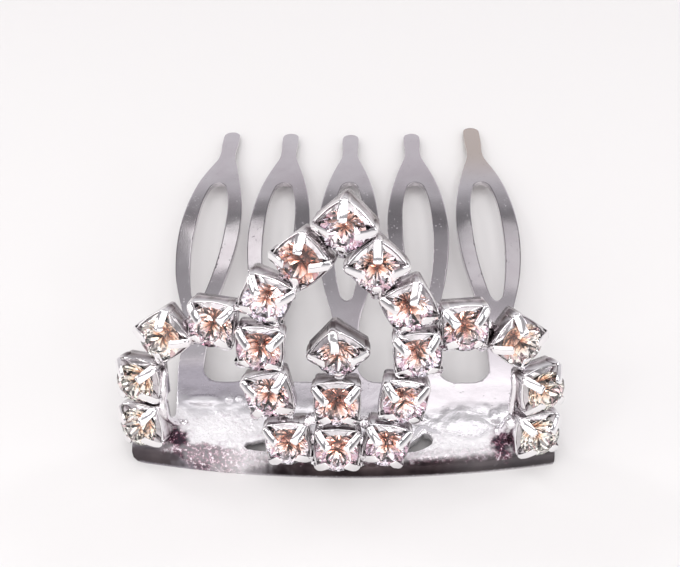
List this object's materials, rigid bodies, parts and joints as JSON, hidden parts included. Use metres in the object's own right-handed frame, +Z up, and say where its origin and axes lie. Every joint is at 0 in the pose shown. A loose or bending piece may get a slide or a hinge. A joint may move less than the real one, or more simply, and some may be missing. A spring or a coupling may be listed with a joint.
{
  "type": "mini tiara hair comb",
  "caption": "Small pointed-arch tiara of square cups with round peach stones, soldered along the front band of a stamped metal hair comb with loop teeth",
  "frame": {"origin": "centre of the part's box in plan, on the surface it lies on", "axes": "X to the wearer's-front viewer's right along the band, Y from the tiara's front edge back toward the tips of the teeth, Z up from the surface the comb lies on"},
  "size_m": [0.044, 0.0568, 0.0275],
  "materials": {
    "plated_metal": "bright silver plating, satin and slightly bumpy on the comb",
    "peach_stone": "faceted pale peach glass with a foil back"
  },
  "bodies": {
    "root": {"soldered_metal": "plated_metal", "apex_stone": "peach_stone", "left_arch_stone_1": "peach_stone", "left_arch_stone_2": "peach_stone", "left_arch_stone_3": "peach_stone", "left_arch_stone_4": "peach_stone", "left_arch_stone_5": "peach_stone", "center_stone_low": "peach_stone", "center_stone_middle": "peach_stone", "center_stone_top": "peach_stone", "right_arch_stone_1": "peach_stone", "right_arch_stone_2": "peach_stone", "right_arch_stone_3": "peach_stone", "right_arch_stone_4": "peach_stone", "right_arch_stone_5": "peach_stone", "left_side_stone_1": "peach_stone", "left_side_stone_2": "peach_stone", "left_side_stone_3": "peach_stone", "left_side_stone_4": "peach_stone", "right_side_stone_1": "peach_stone", "right_side_stone_2": "peach_stone", "right_side_stone_3": "peach_stone", "right_side_stone_4": "peach_stone"}
  },
  "joints": []
}
